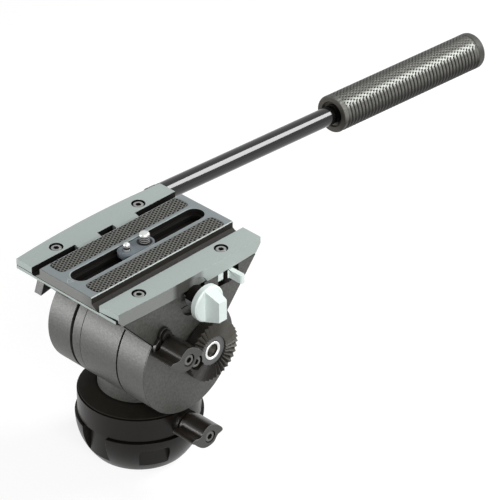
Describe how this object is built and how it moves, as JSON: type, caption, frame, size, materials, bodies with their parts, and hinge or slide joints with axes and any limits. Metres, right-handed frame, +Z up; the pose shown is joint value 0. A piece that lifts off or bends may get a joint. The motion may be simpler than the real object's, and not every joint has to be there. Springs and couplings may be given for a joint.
{
  "type": "fluid video head",
  "caption": "Fluid video head with a 75 mm half ball, sliding camera plate, lock levers and a pan handle.",
  "frame": {"origin": "the pan axis at the flat bottom of the half ball", "axes": "+Z up along the pan axis, +X along the tilt axis to the side with the clamp knob and levers, +Y to the back, where the handle's grip is"},
  "size_m": [0.1372, 0.4025, 0.1411],
  "materials": {
    "black_paint": "semi-gloss black",
    "dark_paint": "fine textured dark grey",
    "grey_metal": "satin greenish grey",
    "plate_metal": "satin bluish grey",
    "dark_metal": "matte brownish black",
    "steel": "bright",
    "bronze": "sintered",
    "pad_rubber": "dimpled",
    "grip_rubber": "cross-knurled",
    "white_plastic": "satin",
    "black_gloss": "glossy"
  },
  "bodies": {
    "base": {"half_ball": "black_paint", "ball_bolt": "steel", "pan_base_ring": "black_paint", "pan_top_cover": "dark_metal", "pan_bearing": "bronze"},
    "pan_brake": {"pan_brake_shoe": "bronze"},
    "pan_lever": {"pan_lock_lever": "black_paint", "pan_lock_stud": "steel", "pan_lever_screw": "steel"},
    "pan_body": {"pan_hub": "steel", "centre_housing": "dark_paint", "drum_ring": "dark_paint", "tilt_shaft": "steel", "counterbalance_spring": "steel"},
    "tilt_body": {"platform": "dark_metal", "near_side_frame": "dark_paint", "far_side_frame": "dark_paint", "near_rail": "grey_metal", "far_rail": "grey_metal", "near_front_rail_screw": "steel", "near_back_rail_screw": "steel", "far_front_rail_screw": "steel", "far_back_rail_screw": "steel", "near_tilt_bearing": "bronze", "far_tilt_bearing": "bronze", "near_drag_cartridge": "dark_metal", "far_drag_cartridge": "dark_metal", "near_rosette": "black_paint", "far_rosette": "black_paint", "rosette_insert": "steel", "rosette_screw": "steel", "tilt_lever_boss": "black_paint", "tilt_boss_screw": "black_paint", "latch_pin": "steel", "latch_spring": "steel"},
    "tilt_brake": {"tilt_brake_shoe": "bronze"},
    "tilt_lever": {"tilt_lock_lever": "black_paint", "tilt_lock_stud": "steel", "tilt_lever_screw": "steel"},
    "plate": {"sliding_plate": "plate_metal", "near_pad": "pad_rubber", "far_pad": "pad_rubber"},
    "carriage": {"screw_carriage": "plate_metal"},
    "pin": {"video_pin": "steel"},
    "screw": {"camera_screw": "steel"},
    "clamp_knob_body": {"clamp_knob": "white_plastic"},
    "clamp_bar_body": {"clamp_bar": "dark_metal"},
    "latch": {"release_latch": "white_plastic"},
    "handle": {"handle_arm": "black_paint", "handle_rod": "black_gloss", "grip_sleeve": "grip_rubber", "grip_end_cap": "grip_rubber"},
    "handle_knob": {"handle_clamp_knob": "black_paint", "handle_clamp_bolt": "steel"}
  },
  "joints": [
    {"name": "pan", "type": "hinge", "parent": "base", "child": "pan_body", "pos_m": [0, 0, 0.0433], "axis": [0, 0, 1], "continuous": true},
    {"name": "tilt", "type": "hinge", "parent": "pan_body", "child": "tilt_body", "pos_m": [0, 0, 0.0793], "axis": [1, 0, 0], "range_deg": [-70, 70]},
    {"name": "pan_lever_turn", "type": "hinge", "parent": "base", "child": "pan_lever", "pos_m": [0.0399, 0, 0.03225], "axis": [1, 0, 0], "range_deg": [-90, 0]},
    {"name": "pan_brake_slide", "type": "slide", "parent": "base", "child": "pan_brake", "axis": [1, 0, 0], "range_m": [-0.00025, 0]},
    {"name": "tilt_lever_turn", "type": "hinge", "parent": "tilt_body", "child": "tilt_lever", "pos_m": [0.0444, -0.0202, 0.0973], "axis": [1, 0, 0], "range_deg": [-90, 0]},
    {"name": "tilt_brake_slide", "type": "slide", "parent": "tilt_body", "child": "tilt_brake", "axis": [1, 0, 0], "range_m": [-0.00025, 0]},
    {"name": "plate_slide", "type": "slide", "parent": "tilt_body", "child": "plate", "axis": [0, 1, 0], "range_m": [-0.03, 0.03]},
    {"name": "carriage_slide", "type": "slide", "parent": "plate", "child": "carriage", "axis": [0, 1, 0], "range_m": [-0.035, 0.039]},
    {"name": "camera_screw_turn", "type": "hinge", "parent": "carriage", "child": "screw", "pos_m": [0, 0.0067, 0.135], "axis": [0, 0, 1], "continuous": true},
    {"name": "video_pin_press", "type": "slide", "parent": "carriage", "child": "pin", "axis": [0, 0, 1], "range_m": [-0.002, 0], "stiffness_N_per_m": 100, "springref_m": 0.002},
    {"name": "clamp_knob_turn", "type": "hinge", "parent": "tilt_body", "child": "clamp_knob_body", "pos_m": [0.045, 0.0038, 0.1195], "axis": [1, 0, 0], "range_deg": [0, 120]},
    {"name": "clamp_bar_slide", "type": "slide", "parent": "tilt_body", "child": "clamp_bar_body", "axis": [1, 0, 0], "range_m": [0, 0.0005]},
    {"name": "latch_swing", "type": "hinge", "parent": "tilt_body", "child": "latch", "pos_m": [0.0396, 0.0316, 0.121], "axis": [0, 0, 1], "range_deg": [0, 18], "stiffness_Nm_per_rad": 0.02, "springref_deg": -11.46},
    {"name": "handle_swing", "type": "hinge", "parent": "tilt_body", "child": "handle", "pos_m": [-0.0461, 0.012, 0.0811], "axis": [1, 0, 0], "range_deg": [-45, 60]},
    {"name": "handle_knob_turn", "type": "hinge", "parent": "handle", "child": "handle_knob", "pos_m": [-0.0597, 0.012, 0.0811], "axis": [1, 0, 0], "range_deg": [-180, 0]}
  ],
  "couplings": [
    {"joint": "pan_brake_slide", "follows": "pan_lever_turn", "m_per_rad": 0.000159},
    {"joint": "tilt_brake_slide", "follows": "tilt_lever_turn", "m_per_rad": 0.000159},
    {"joint": "clamp_bar_slide", "follows": "clamp_knob_turn", "m_per_rad": 0.0002387}
  ]
}
